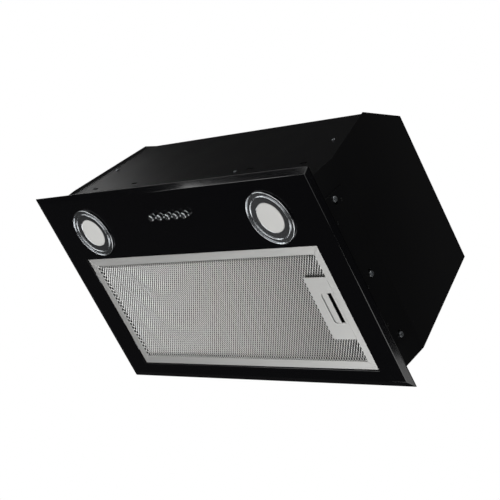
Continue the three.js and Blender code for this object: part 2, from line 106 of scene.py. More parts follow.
# %% [markdown]
# ## Making materials
#
# Every finish is a Principled shader. Colours are written as the hex values a colour picker
# shows, and one function turns them to the linear numbers that the shader wants. One more
# function adds a node, sets its settings and links its inputs. Patterns read Object
# coordinates, which are metres here, so a pattern's scale is one over its real size.

# %% Colour and node helpers
def linear(hex_colour):
    """An sRGB hex colour as a linear RGBA colour."""
    parts = [int(hex_colour[i : i + 2], 16) / 255 for i in (1, 3, 5)]
    return [p / 12.92 if p <= 0.04045 else ((p + 0.055) / 1.055) ** 2.4 for p in parts] + [1]


def add(tree, kind, inputs=None, **settings):
    """A new node, with its settings, and each input set to a value or linked to a socket."""
    made = tree.nodes.new(kind)
    for name, value in settings.items():
        setattr(made, name, value)
    for name, value in (inputs or {}).items():
        if isinstance(value, bpy.types.NodeSocket):
            tree.links.new(value, made.inputs[name])
        else:
            made.inputs[name].default_value = value
    return made


def start(name, colour, roughness, metallic=0.0):
    """A material with its Principled shader set, its node tree and its Object coordinates."""
    material = bpy.data.materials.new(name)
    material.use_nodes = True
    tree = material.node_tree
    shader = tree.nodes["Principled BSDF"]
    shader.inputs["Base Color"].default_value = linear(colour)
    shader.inputs["Roughness"].default_value = roughness
    shader.inputs["Metallic"].default_value = metallic
    return material, tree, shader, add(tree, "ShaderNodeTexCoord").outputs["Object"]


def per(millimetres):
    """The texture scale whose pattern repeats about once in this many millimetres."""
    return 1 / (millimetres * MM)


# %% [markdown]
# ## Gloss black powder coat
#
# The face panel is pressed steel with a gloss black powder coat. Cured powder flows out to a
# mirror-like skin that still has a shallow orange peel a few millimetres across, and fine
# dust that roughens it in places. The peel is a weak bump, and the dust moves the roughness.

# %% Gloss black
gloss_black, tree, shader, place = start("gloss_black_powder_coat", "#040405", 0.1)
shader.inputs["Specular IOR Level"].default_value = 0.25
peel = add(tree, "ShaderNodeTexNoise", {"Vector": place, "Scale": per(3.5), "Detail": 1.0})
dust = add(tree, "ShaderNodeTexNoise", {"Vector": place, "Scale": per(0.7), "Detail": 3.0})
dulled = add(
    tree,
    "ShaderNodeMapRange",
    {"Value": dust.outputs["Fac"], "From Min": 0.35, "From Max": 0.8, "To Min": 0.05, "To Max": 0.12},
)
tree.links.new(dulled.outputs["Result"], shader.inputs["Roughness"])
bump = add(
    tree,
    "ShaderNodeBump",
    {"Height": peel.outputs["Fac"], "Strength": 0.12, "Distance": 0.02 * MM},
)
tree.links.new(bump.outputs["Normal"], shader.inputs["Normal"])

# %% [markdown]
# ## Satin black powder coat
#
# The casing is bent from sheet steel and coated in a satin black powder. Its surface is a
# fine, even pebble about a millimetre across, so highlights on it are wide and soft. A second,
# much larger noise gives the slight unevenness of a big sheet, which shows only as a drift in
# the roughness.

# %% Satin black
satin_black, tree, shader, place = start("satin_black_powder_coat", "#070708", 0.42)
shader.inputs["Specular IOR Level"].default_value = 0.25
pebble = add(tree, "ShaderNodeTexNoise", {"Vector": place, "Scale": per(1.1), "Detail": 2.0})
drift = add(tree, "ShaderNodeTexNoise", {"Vector": place, "Scale": per(60), "Detail": 1.0})
uneven = add(
    tree,
    "ShaderNodeMapRange",
    {"Value": drift.outputs["Fac"], "From Min": 0.3, "From Max": 0.7, "To Min": 0.4, "To Max": 0.45},
)
tree.links.new(uneven.outputs["Result"], shader.inputs["Roughness"])
bump = add(
    tree,
    "ShaderNodeBump",
    {"Height": pebble.outputs["Fac"], "Strength": 0.25, "Distance": 0.05 * MM},
)
tree.links.new(bump.outputs["Normal"], shader.inputs["Normal"])

# %% [markdown]
# ## Rolled aluminium
#
# The filter's frame and latch are folded from thin rolled aluminium sheet. Rolling leaves
# faint lines along the sheet, a few tenths of a millimetre apart and several centimetres long,
# so the noise is squeezed across X by a Mapping node. They are drawn at 0.5 mm, a little
# coarser than real ones, to show at all.

# %% Aluminium
aluminium, tree, shader, place = start("rolled_aluminium", "#cfcfcd", 0.5, metallic=1.0)
lines = add(
    tree,
    "ShaderNodeMapping",
    {"Vector": place, "Scale": (per(60), per(0.5), per(0.5))},
)
rolled = add(tree, "ShaderNodeTexNoise", {"Vector": lines.outputs["Vector"], "Scale": 1.0, "Detail": 3.0})
sheen = add(
    tree,
    "ShaderNodeMapRange",
    {"Value": rolled.outputs["Fac"], "From Min": 0.3, "From Max": 0.7, "To Min": 0.45, "To Max": 0.58},
)
tree.links.new(sheen.outputs["Result"], shader.inputs["Roughness"])
bump = add(
    tree,
    "ShaderNodeBump",
    {"Height": rolled.outputs["Fac"], "Strength": 0.15, "Distance": 0.03 * MM},
)
tree.links.new(bump.outputs["Normal"], shader.inputs["Normal"])

# %% [markdown]
# ## Expanded aluminium
#
# The mesh is slit and stretched, which leaves each strand slightly torn and matt, so it is
# rougher than the rolled sheet, with a grain of about 0.6 mm. The core layer behind the open
# sheets gets a rougher copy whose dark colour is painted shade, standing in for the shade
# inside the filter.

# %% Mesh metals
def mesh_metal(name, colour, roughness):
    material, tree, shader, place = start(name, colour, roughness, metallic=1.0)
    grain = add(tree, "ShaderNodeTexNoise", {"Vector": place, "Scale": per(0.6), "Detail": 2.0})
    torn = add(
        tree,
        "ShaderNodeMapRange",
        {"Value": grain.outputs["Fac"], "To Min": roughness - 0.12, "To Max": roughness + 0.12},
    )
    tree.links.new(torn.outputs["Result"], shader.inputs["Roughness"])
    bump = add(
        tree,
        "ShaderNodeBump",
        {"Height": grain.outputs["Fac"], "Strength": 0.2, "Distance": 0.05 * MM},
    )
    tree.links.new(bump.outputs["Normal"], shader.inputs["Normal"])
    return material


expanded_aluminium = mesh_metal("expanded_aluminium", "#dededc", 0.45)
# painted shade: the inner filter layer is coloured dark for the shade it sits in
painted_shade_mesh = mesh_metal("painted_shade_inner_mesh", "#1e1e1e", 0.6)

# %% [markdown]
# ## Chrome
#
# The buttons are zinc castings plated with bright chrome, which is almost a mirror. The lamp
# rings are plated over a blasted surface, so they are satin. Fine wiping marks, drawn about
# 2 mm long, keep either one from looking like glass.

# %% Chrome
def plated(name, smoothest, roughest):
    material, tree, shader, place = start(name, "#c9cccf", roughest, metallic=1.0)
    wipes = add(tree, "ShaderNodeTexNoise", {"Vector": place, "Scale": per(2.0), "Detail": 1.0})
    wiped = add(
        tree,
        "ShaderNodeMapRange",
        {
            "Value": wipes.outputs["Fac"],
            "From Min": 0.3,
            "From Max": 0.7,
            "To Min": smoothest,
            "To Max": roughest,
        },
    )
    tree.links.new(wiped.outputs["Result"], shader.inputs["Roughness"])
    return material


chrome = plated("bright_chrome_plate", 0.08, 0.14)
satin_chrome = plated("satin_chrome_plate", 0.16, 0.2)

# %% [markdown]
# ## Opal lens
#
# The lamp's lens is an opal polycarbonate disc with a matt skin. Light enters it and comes out
# again a little way off, which a small subsurface radius gives. A faint grain keeps the broad
# highlight soft.

# %% Opal
opal, tree, shader, place = start("opal_polycarbonate", "#a8a8a6", 0.45)
shader.inputs["IOR"].default_value = 1.58
shader.inputs["Subsurface Weight"].default_value = 0.3
shader.inputs["Subsurface Radius"].default_value = (0.004, 0.004, 0.004)
shader.inputs["Subsurface Scale"].default_value = 1.0
frost = add(tree, "ShaderNodeTexNoise", {"Vector": place, "Scale": per(0.8), "Detail": 1.0})
bump = add(
    tree,
    "ShaderNodeBump",
    {"Height": frost.outputs["Fac"], "Strength": 0.1, "Distance": 0.03 * MM},
)
tree.links.new(bump.outputs["Normal"], shader.inputs["Normal"])

# %% [markdown]
# ## Zinc coated steel
#
# Brackets, the blower housing and the motor are bare galvanised steel. Hot zinc freezes in
# flat crystals, called spangle, some 7 mm across here. Each crystal reflects differently, so
# Voronoi cells change both the brightness and the roughness.

# %% Galvanised steel
galvanised, tree, shader, place = start("galvanised_steel", "#a7abae", 0.42, metallic=1.0)
spangle = add(tree, "ShaderNodeTexVoronoi", {"Vector": place, "Scale": per(7)})
crystal = add(tree, "ShaderNodeSeparateColor", {"Color": spangle.outputs["Color"]})
duller = add(
    tree,
    "ShaderNodeMapRange",
    {"Value": crystal.outputs["Red"], "To Min": 0.34, "To Max": 0.52},
)
tree.links.new(duller.outputs["Result"], shader.inputs["Roughness"])
tints = add(tree, "ShaderNodeValToRGB", {"Fac": crystal.outputs["Green"]})
tints.color_ramp.elements[0].color = linear("#989ca0")
tints.color_ramp.elements[1].color = linear("#b4b8ba")
tree.links.new(tints.outputs["Color"], shader.inputs["Base Color"])

# %% [markdown]
# ## Moulded plastics
#
# The collar, flaps, impeller and boxes are moulded in black, and the capacitor and the lamp
# driver in white. A spark-eroded mould leaves a fine grain of about 0.5 mm. The same grain
# serves both, and only the colour and the roughness differ.

# %% Plastics
def moulded(name, colour, roughness, grain_size):
    material, tree, shader, place = start(name, colour, roughness)
    shader.inputs["IOR"].default_value = 1.53
    grain = add(tree, "ShaderNodeTexNoise", {"Vector": place, "Scale": per(grain_size), "Detail": 2.0})
    worn = add(
        tree,
        "ShaderNodeMapRange",
        {"Value": grain.outputs["Fac"], "To Min": roughness - 0.08, "To Max": roughness + 0.08},
    )
    tree.links.new(worn.outputs["Result"], shader.inputs["Roughness"])
    bump = add(
        tree,
        "ShaderNodeBump",
        {"Height": grain.outputs["Fac"], "Strength": 0.3, "Distance": 0.05 * MM},
    )
    tree.links.new(bump.outputs["Normal"], shader.inputs["Normal"])
    return material


black_plastic = moulded("moulded_black_abs", "#17171a", 0.5, 0.5)
white_plastic = moulded("moulded_white_pbt", "#d8d8d4", 0.45, 0.6)

FINISH = {
    "gloss_black": gloss_black,
    "satin_black": satin_black,
    "aluminium": aluminium,
    # the filter mesh slot takes the painted shade copy
    "filter_mesh": painted_shade_mesh,
    "chrome": chrome,
    "opal": opal,
    "galvanised": galvanised,
    "black_plastic": black_plastic,
    "white_plastic": white_plastic,
}
for name, node in frame["nodes"].items():
    node.data.materials.clear()
    node.data.materials.append(FINISH[SLOT_OF[name]])
print(len(FINISH), "finishes on", len(frame["nodes"]), "nodes")

# %% [markdown]
# ## Turning a bmesh into a piece
#
# Each new piece is modelled in a bmesh and then made an object that sits at the origin, with
# its place in its mesh, as the CAD nodes do. It rides on the body of the node that it stands
# for, and takes that node's material slot. Turned parts are shaded smooth, with sharp edges
# above 30 degrees. On sheet parts only the faces of a shallow curve are smooth, because a big
# flat face that shares smooth corners with a bevel would show a false gradient.

# %% Piece helper
def shallow(edge):
    """True between two faces that turn by a few degrees, as the facets of a curve do."""
    return len(edge.link_faces) == 2 and 1 < math.degrees(edge.calc_face_angle()) < 20


def mean_width(face):
    """The mean width of a face, however long it is."""
    return 2 * face.calc_area() / face.calc_perimeter()


def curved(face):
    """True if a face turns gently into one of about its own width, as on a rounded sheet."""
    for edge in face.edges:
        widths = [mean_width(f) for f in edge.link_faces]
        if shallow(edge) and max(widths) < 5 * min(widths):
            return True
    return False


def piece(bm, name, node, finish=None, stands_for=(), turned=True):
    """Makes an object of a bmesh. It rides with a CAD node and may stand for some nodes."""
    if turned:
        bmesh.ops.remove_doubles(bm, verts=bm.verts, dist=0.002 * MM)
        bmesh.ops.recalc_face_normals(bm, faces=bm.faces)
    smooth = [turned or curved(face) for face in bm.faces]
    mesh = bpy.data.meshes.new(name)
    bm.to_mesh(mesh)
    bm.free()
    if "custom_normal" in mesh.attributes:
        mesh.attributes.remove(mesh.attributes["custom_normal"])  # those of the CAD triangles
    mesh.set_sharp_from_angle(angle=math.radians(30))
    mesh.polygons.foreach_set("use_smooth", smooth)
    mesh.materials.append(finish or FINISH[SLOT_OF[node]])
    made = bpy.data.objects.new(name, mesh)
    bpy.context.scene.collection.objects.link(made)
    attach(made, BODY_OF[node])
    if stands_for:
        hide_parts(*stands_for)
    return made


# %% [markdown]
# ## Softening the edges of cut and bent sheet
#
# No real edge is perfectly sharp. A thin line of light along each edge is what makes a dark
# sheet metal box readable at all. The CAD mesh itself stays as it is: a copy has its triangles
# merged into flat faces, and then every edge that turns more than 25 degrees gets a small
# bevel of two segments.

# %% Softened copies
def cad_copy(node):
    """A bmesh of a CAD node, with doubles merged and flat triangles joined into faces."""
    bm = bmesh.new()
    bm.from_mesh(frame["nodes"][node].data)
    bmesh.ops.remove_doubles(bm, verts=bm.verts, dist=0.005 * MM)
    flat = math.radians(0.5)
    bmesh.ops.dissolve_limit(bm, angle_limit=flat, verts=bm.verts, edges=bm.edges)
    return bm


def bevel(bm, edges, width, segments=2):
    bmesh.ops.bevel(
        bm,
        geom=edges,
        offset=width * MM,
        offset_type="OFFSET",
        affect="EDGES",
        segments=segments,
        profile=0.5,
        material=-1,
        clamp_overlap=True,
    )


def sharp_edges(bm, degrees=25):
    turn = math.radians(degrees)
    return [e for e in bm.edges if len(e.link_faces) == 2 and e.calc_face_angle() > turn]


def softened(node, width, segments=2, finish=None):
    bm = cad_copy(node)
    bevel(bm, sharp_edges(bm), width, segments)
    return piece(bm, f"{node}_edged", node, finish, [node], turned=False)


SHEET_EDGES = {
    "front_wall": 0.35,
    "rear_wall": 0.35,
    "top_plate": 0.3,
    "side_wall_left": 0.35,
    "side_wall_right": 0.35,
    "side_bracket_left": 0.4,
    "side_bracket_right": 0.4,
    "latch_slider": 0.3,
    "latch_pocket": 0.3,
    "filter_hook_front": 0.3,
    "filter_hook_rear": 0.3,
    "switch_block": 0.8,
    "switch_bracket": 0.3,
    "blower_hanger_front": 0.4,
    "blower_hanger_rear": 0.4,
    "scroll_shell_left": 0.3,
    "scroll_shell_right": 0.3,
    "terminal_box": 0.5,
    "terminal_box_lid": 0.5,
    "lamp_driver": 1.2,
    "capacitor_clip": 0.3,
    "flap_front": 0.2,
    "flap_rear": 0.2,
    "motor_cradle": 0.4,
}
for name, width in SHEET_EDGES.items():
    softened(name, width)
print(len(SHEET_EDGES), "softened sheets and boxes")

# %% [markdown]
# ## Face panel
#
# The panel is one pressed tray. Its rim slopes up over the last 8 mm to the outer edge, and
# the four slopes meet in mitred creases. Press tools leave a crease radius of under a
# millimetre, which shows as a fine bright line round the whole face. The rim's creases get a
# wider bevel than the punched openings, so the two are bevelled one after the other.

# %% Face panel
FACE_LOW, FACE_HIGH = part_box("face_panel")
RIM = 9 * MM


def on_rim(edge):
    """True for an edge that lies wholly in the sloping rim, whose inside is left alone."""
    middle = (edge.verts[0].co + edge.verts[1].co) / 2
    far_x = FACE_HIGH.x - abs(middle.x) < RIM
    far_y = FACE_HIGH.y - abs(middle.y) < RIM
    return (far_x or far_y) and middle.z < FACE_HIGH.z - 0.2 * MM


panel = cad_copy("face_panel")
bevel(panel, [e for e in sharp_edges(panel, 5) if on_rim(e)], 0.6, 3)
openings = [
    e
    for e in sharp_edges(panel, 60)
    if all(v.co.z < FACE_LOW.z + 0.1 * MM for v in e.verts) and not on_rim(e)
]
bevel(panel, openings, 0.25, 2)
piece(panel, "pressed_face_panel", "face_panel", None, ["face_panel"], turned=False)
print("face panel", [round(s / MM, 1) for s in FACE_HIGH - FACE_LOW], "mm")

# %% [markdown]
# ## Filter frame
#
# The frame is folded from four lengths of channel, cut at 45 degrees and tacked in the
# corners, which leaves a hairline along each mitre. Each rail is a copy of the whole frame,
# cut by the two planes of its mitres, with the cut ends closed. The planes stand a tenth of a
# millimetre off the true diagonal, and the bevel turns that gap into a fine groove.

# %% Filter frame
FRAME_LOW, FRAME_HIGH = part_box("filter_frame")
MITRE_GAP = 0.1 * MM


def cut_away(bm, at, normal):
    """Removes what lies behind a plane, and returns the edges of the cut."""
    everything = bm.verts[:] + bm.edges[:] + bm.faces[:]
    cut = bmesh.ops.bisect_plane(
        bm, geom=everything, plane_co=at, plane_no=normal, clear_inner=True
    )
    return [g for g in cut["geom_cut"] if isinstance(g, bmesh.types.BMEdge)]


def rail(bm, toward):
    """Keeps the part of the frame that lies between the two mitres on one side."""
    cut_away(bm, (FRAME_LOW + FRAME_HIGH) / 2, toward)
    across = Vector((-toward.y, toward.x, 0))
    for along in (across, -across):
        out = toward + along  # from the frame's middle to the corner at this end
        corner = Vector(
            (
                FRAME_HIGH.x if out.x > 0 else FRAME_LOW.x,
                FRAME_HIGH.y if out.y > 0 else FRAME_LOW.y,
                0,
            )
        )
        normal = (toward - along).normalized()
        ends = cut_away(bm, corner + normal * MITRE_GAP, normal)
        bmesh.ops.holes_fill(bm, edges=ends, sides=0)


rails = bmesh.new()
for toward in (Vector((1, 0, 0)), Vector((-1, 0, 0)), Vector((0, 1, 0)), Vector((0, -1, 0))):
    one = cad_copy("filter_frame")
    rail(one, toward)
    bevel(one, sharp_edges(one), 0.3, 2)
    loose = bpy.data.meshes.new("rail")
    one.to_mesh(loose)
    one.free()
    rails.from_mesh(loose)
    bpy.data.meshes.remove(loose)
piece(rails, "filter_frame_rails", "filter_frame", None, ["filter_frame"], turned=False)

# %% [markdown]
# ## Expanded mesh
#
# Expanded metal is one sheet, slit in staggered rows and pulled open, so it is a lattice of
# diamonds here 4.15 mm wide and 6 mm long. A square grid turned by 45 degrees and then
# stretched is that same lattice. Insetting each diamond and deleting its middle leaves the
# strands, moving each hole's two ends apart in height tilts them as the slitting knife does,
# and a solidify gives them their metal. The sheet is dished: its margin bends down to the
# frame's flange all round, which closes the gap behind the frame.

# %% Expanded mesh
DIAMOND_X, DIAMOND_Y = 4.15 * MM, 6.0 * MM
STRAND = 0.52 * MM  # half a strand's width
STRAND_THICK = 0.45 * MM
TILT = 0.36 * MM
DISH = 2.2 * MM  # how far the sheet's margin bends down to the frame
DISH_WIDTH = 3 * MM


def diamond_lattice(low, high):
    """Flat diamonds that cover a rectangle at z = 0, cut off at its edges."""
    bm = bmesh.new()
    middle = (low + high) / 2
    reach = max((high.x - low.x) / DIAMOND_X, (high.y - low.y) / DIAMOND_Y)
    half = math.ceil(reach) + 2
    bmesh.ops.create_grid(bm, x_segments=2 * half, y_segments=2 * half, size=half)
    bmesh.ops.rotate(bm, cent=(0, 0, 0), matrix=Matrix.Rotation(math.pi / 4, 3, "Z"), verts=bm.verts)
    root = math.sqrt(2)
    bmesh.ops.scale(bm, vec=(DIAMOND_X / root, DIAMOND_Y / root, 1), verts=bm.verts)
    bmesh.ops.translate(bm, vec=(middle.x, middle.y, 0), verts=bm.verts)
    for at, normal in (
        ((high.x, 0, 0), (1, 0, 0)),
        ((low.x, 0, 0), (-1, 0, 0)),
        ((0, high.y, 0), (0, 1, 0)),
        ((0, low.y, 0), (0, -1, 0)),
    ):
        everything = bm.verts[:] + bm.edges[:] + bm.faces[:]
        bmesh.ops.bisect_plane(bm, geom=everything, plane_co=at, plane_no=normal, clear_outer=True)
    return bm


def expanded(bm, z):
    """Opens the diamonds, tilts the strands and gives them thickness, from z upwards."""
    whole = [f for f in bm.faces if f.calc_area() > 0.3 * DIAMOND_X * DIAMOND_Y / 2]
    for face in whole:
        face.tag = True
    bmesh.ops.inset_individual(bm, faces=whole, thickness=STRAND)
    centres = [(f, f.calc_center_median()) for f in bm.faces if f.tag and f in set(whole)]
    for face, centre in centres:
        for vert in face.verts:
            vert.co.z += TILT * (1 if vert.co.y < centre.y else -1) * (abs(vert.co.y - centre.y) > 0.1 * MM)
    bmesh.ops.delete(bm, geom=[f for f, _ in centres], context="FACES_ONLY")
    bmesh.ops.solidify(bm, geom=bm.faces[:], thickness=STRAND_THICK)
    bmesh.ops.translate(bm, vec=(0, 0, z), verts=bm.verts)


def dished(bm, low, high):
    """Bends the margin of the sheet down, round a rectangle that stays level."""
    for vert in bm.verts:
        past = max(low.x - vert.co.x, vert.co.x - high.x, low.y - vert.co.y, vert.co.y - high.y)
        t = min(max(past / DISH_WIDTH, 0), 1)
        vert.co.z -= DISH * t * t * (3 - 2 * t)


def open_sheet(node):
    """An expanded sheet in the place of a CAD sheet, left open where the latch's pocket is."""
    low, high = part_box(node)
    bm = diamond_lattice(low, high)
    reach = 1 * MM
    behind_latch = [
        f
        for f in bm.faces
        if f.calc_center_median().x > POCKET_LOW.x - 2 * reach
        and POCKET_LOW.y - reach < f.calc_center_median().y < POCKET_HIGH.y + reach
    ]
    bmesh.ops.delete(bm, geom=behind_latch, context="FACES")
    expanded(bm, low.z + (high.z - low.z - STRAND_THICK) / 2)
    return bm


POCKET_LOW, POCKET_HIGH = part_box("latch_pocket")
level_inset = Vector((11, 11, 0)) * MM + Vector((DISH_WIDTH, DISH_WIDTH, 0))
lattice = open_sheet("mesh_outer")
dished(lattice, FRAME_LOW + level_inset, FRAME_HIGH - level_inset)
faces = len(lattice.faces)
piece(lattice, "expanded_mesh_face", "mesh_outer", expanded_aluminium, ["mesh_outer"])
lattice = open_sheet("mesh_inner")
piece(lattice, "expanded_mesh_back", "mesh_inner", expanded_aluminium, ["mesh_inner"])
print("about", faces, "faces in each open sheet")

# %% [markdown]
# ## Latch plate and spring
#
# The latch plate is aluminium sheet, punched with a window for a fingertip. The window's edge
# is turned inwards, so it gets a wider bevel than the plate's outside. Behind it a wire spring,
# folded to and fro, pushes the slide. The spring is a chain of short rods laid along its path.

# %% Latch plate
PLATE_LOW, PLATE_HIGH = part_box("latch_plate")
plate = cad_copy("latch_plate")
inside = 5 * MM
window = [
    e
    for e in sharp_edges(plate)
    if all(
        PLATE_LOW.x + inside < v.co.x < PLATE_HIGH.x - inside / 2
        and PLATE_LOW.y + inside < v.co.y < PLATE_HIGH.y - inside
        and v.co.z < PLATE_LOW.z + 0.1 * MM
        for v in e.verts
    )
]
bevel(plate, window, 0.6, 3)
outside = [e for e in sharp_edges(plate, 60) if all(v.co.z < PLATE_LOW.z + 0.1 * MM for v in e.verts)]
bevel(plate, [e for e in outside if e.calc_length() > 40 * MM], 0.25, 2)
piece(plate, "latch_plate_edged", "latch_plate", None, ["latch_plate"], turned=False)


# %% Round wire along a path
def rod_between(bm, start_at, end_at, radius, sides=12):
    """Adds a closed round rod between two points."""
    along = end_at - start_at
    turn = along.to_track_quat("Z", "Y").to_matrix().to_4x4()
    bmesh.ops.create_cone(
        bm,
        cap_ends=True,
        segments=sides,
        radius1=radius,
        radius2=radius,
        depth=along.length,
        matrix=Matrix.Translation((start_at + end_at) / 2) @ turn,
    )


SPRING_LOW, SPRING_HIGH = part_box("latch_spring")
WIRE = 0.35 * MM
BENDS = 4
spring = bmesh.new()
step = (SPRING_HIGH.x - SPRING_LOW.x - 2 * WIRE) / (BENDS - 1)
spring_z = (SPRING_LOW.z + SPRING_HIGH.z) / 2
corners = []
for i in range(BENDS):
    x = SPRING_LOW.x + WIRE + i * step
    ends = [SPRING_LOW.y + WIRE, SPRING_HIGH.y - WIRE]
    corners += [Vector((x, y, spring_z)) for y in (ends if i % 2 == 0 else ends[::-1])]
for a, b in zip(corners, corners[1:]):
    rod_between(spring, a, b, WIRE)
for corner in corners:
    bmesh.ops.create_uvsphere(
        spring, u_segments=12, v_segments=8, radius=WIRE, matrix=Matrix.Translation(corner)
    )
spring_wire = piece(spring, "latch_spring_wire", "latch_spring", None, ["latch_spring"])
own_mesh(spring_wire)
print("spring of", BENDS, "bends, pitch", round(step / MM, 2), "mm")

# %% [markdown]
# ## Turned parts
#
# Rings, lenses, buttons, the collar and the motor are all round, so each is a profile spun
# about its axis. The profile is a list of radius and height in millimetres, and rounded
# corners are short arcs between its straight runs. A full spin merges its last step with its
# first.

# %% Spinning a profile
def bend(radius, height, size, first, last, steps=4):
    """Points of an arc about (radius, height), in millimetres, from one angle to another."""
    turn = [math.radians(first + (last - first) * i / steps) for i in range(steps + 1)]
    return [(radius + size * math.cos(a), height + size * math.sin(a)) for a in turn]


def spun(profile, centre, axis="Z", steps=96, closed=True):
    """A bmesh of a profile spun about a line through a centre, along Z or X."""
    bm = bmesh.new()
    verts = [bm.verts.new((r * MM, 0, h * MM)) for r, h in profile]
    pairs = list(zip(verts, verts[1:])) + ([(verts[-1], verts[0])] if closed else [])
    edges = [bm.edges.new(pair) for pair in pairs]
    bmesh.ops.spin(
        bm,
        geom=verts + edges,
        cent=(0, 0, 0),
        axis=(0, 0, 1),
        angle=2 * math.pi,
        steps=steps,
        use_merge=True,
    )
    bmesh.ops.remove_doubles(bm, verts=bm.verts, dist=0.002 * MM)
    if axis == "X":
        quarter = Matrix.Rotation(math.pi / 2, 3, "Y")
        bmesh.ops.rotate(bm, cent=(0, 0, 0), matrix=quarter, verts=bm.verts)
    bmesh.ops.translate(bm, vec=centre, verts=bm.verts)
    return bm


def middle_of(node):
    low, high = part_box(node)
    return (low + high) / 2


# %% [markdown]
# ## Lamps
#
# Each lamp is a plated ring round an opal lens. From the outside in, the ring has a thin
# raised bead, a shallow groove, a second, finer bead, and a funnel down to the lens. The beads
# are what catch the light as two bright ellipses. The sleeve behind the panel keeps the CAD
# ring's size.

# %% Lamps
RING_LOW, RING_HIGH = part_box("lamp_ring_right")
LENS_LOW, LENS_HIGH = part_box("lamp_lens_right")
ring_radius = (RING_HIGH.x - RING_LOW.x) / 2 / MM
lens_radius = (LENS_HIGH.x - LENS_LOW.x) / 2 / MM
under = RING_LOW.z / MM  # the lowest that the ring reaches
seat = under + 2  # where it bears on the panel
neck = ring_radius - 6.6
throat = lens_radius + 0.3
bead, fine_bead = 0.6, 0.7
ring_profile = [
    (ring_radius, seat),
    *bend(ring_radius - bead, under + bead, bead, 0, -180, 8),
    (ring_radius - 2 * bead - 0.1, under + 1.2),
    (neck + 1.0, under + 1.2),
    *bend(neck + 0.2, under + 0.2 + fine_bead, fine_bead, 0, -180, 8),
    (neck - 0.5, under + 1.0),
    (throat + 0.3, under + 1.3),
    (throat, under + 1.5),
    (throat, seat + 0.4),
    (neck - 2.6, seat + 0.4),
    (neck - 2.6, RING_HIGH.z / MM),
    (neck, RING_HIGH.z / MM),
    (neck, seat),
]
lens_bottom, lens_top = LENS_LOW.z / MM, LENS_HIGH.z / MM
DOME_STEPS = 8
dome = [
    (
        (lens_radius - 0.5) * i / DOME_STEPS,
        lens_bottom + 0.6 * (i / DOME_STEPS) ** 2,
    )
    for i in range(DOME_STEPS + 1)
]
lens_profile = [*dome, *bend(lens_radius - 0.5, lens_bottom + 1.1, 0.5, -90, 0), (lens_radius, lens_top), (0, lens_top)]
for side in ("left", "right"):
    at = middle_of(f"lamp_ring_{side}")
    centre = (at.x, at.y, 0)
    ring = spun(ring_profile, centre, steps=128)
    piece(ring, f"lamp_bezel_{side}", f"lamp_ring_{side}", satin_chrome, [f"lamp_ring_{side}"])
    lens = spun(lens_profile, centre, steps=96, closed=False)
    piece(lens, f"lamp_diffuser_{side}", f"lamp_lens_{side}", None, [f"lamp_lens_{side}"])
print("lamp ring", round(2 * ring_radius, 1), "mm, lens", round(2 * lens_radius, 1), "mm")

# %% [markdown]
# ## Push buttons
#
# Five chromed caps on thin stems. Each cap has a rounded edge and a slightly dished end, so it
# shows a bright rim round a darker middle. A hairline groove near the panel end is where the
# cap is crimped on its stem.

# %% Buttons
BUTTONS = ("light", "stop", "speed_1", "speed_2", "speed_3")
for name in BUTTONS:
    node = f"button_{name}"
    low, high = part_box(node)
    tip, radius = low.z / MM, (high.x - low.x) / 2 / MM
    cap_top, stem_top, stem = 1.0, high.z / MM, 2.0
    profile = [
        (0, tip + 0.5),
        (radius * 0.5, tip + 0.35),
        (radius - 1.0, tip),
        *bend(radius - 0.7, tip + 0.7, 0.7, -90, 0, 5),
        (radius, tip + 5.0),
        (radius - 0.3, tip + 5.2),
        (radius - 0.3, tip + 5.5),
        (radius, tip + 5.7),
        (radius, cap_top),
        (stem, cap_top),
        (stem, stem_top),
        (0, stem_top),
    ]
    at = middle_of(node)
    cap = spun(profile, (at.x, at.y, 0), steps=48, closed=False)
    piece(cap, f"{node}_cap", node, None, [node])
print(len(BUTTONS), "buttons")

# %% [markdown]
# ## Outlet collar, flap pin and cable gland
#
# The collar is moulded: a flange, a round spigot with a lead-in edge, and three shallow ribs
# that help the duct clamp grip. The gland is a turned sleeve with a soft shoulder. Only its
# bore and its lock nut are there, as no lead is fitted.

# %% Collar and gland
COLLAR_LOW, COLLAR_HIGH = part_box("outlet_collar")
at = middle_of("outlet_collar")
flange_radius = (COLLAR_HIGH.x - COLLAR_LOW.x) / 2 / MM
base, rim = COLLAR_LOW.z / MM, COLLAR_HIGH.z / MM
outer, wall, sheet = flange_radius - 10, 1.5, 1.5
ledge = (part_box("flap_pin")[0].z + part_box("flap_pin")[1].z) / 2 / MM - 1.8
ribs = [p for h in (14, 22, 30) for p in ((outer - 0.5, base + h), (outer - 0.02, base + h + 1), (outer - 0.5, base + h + 2))]
collar_profile = [
    (outer - wall - 3, base),
    (flange_radius, base),
    *bend(flange_radius - 0.5, base + sheet - 0.5, 0.5, 0, 90),
    (outer + 0.6, base + sheet),
    (outer, base + sheet + 0.6),
    (outer, base + 12),
    *ribs,
    (outer, base + 34),
    (outer, rim - 2.5),
    (outer - 0.8, rim),
    (outer - wall, rim),
    (outer - wall, ledge),
    (outer - wall - 3, ledge),
]
collar = spun(collar_profile, (at.x, at.y, 0), steps=128)
piece(collar, "outlet_spigot", "outlet_collar", None, ["outlet_collar"])

PIN_LOW, PIN_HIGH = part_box("flap_pin")
pin_radius = (PIN_HIGH.z - PIN_LOW.z) / 2 / MM
pin_end = (PIN_HIGH.x - PIN_LOW.x) / 2 / MM
pin = spun(
    [
        (0, -pin_end),
        (pin_radius - 0.4, -pin_end),
        (pin_radius, -pin_end + 0.4),
        (pin_radius, pin_end - 0.4),
        (pin_radius - 0.4, pin_end),
        (0, pin_end),
    ],
    middle_of("flap_pin"),
    axis="X",
    steps=32,
    closed=False,
)
piece(pin, "flap_pin_turned", "flap_pin", None, ["flap_pin"])

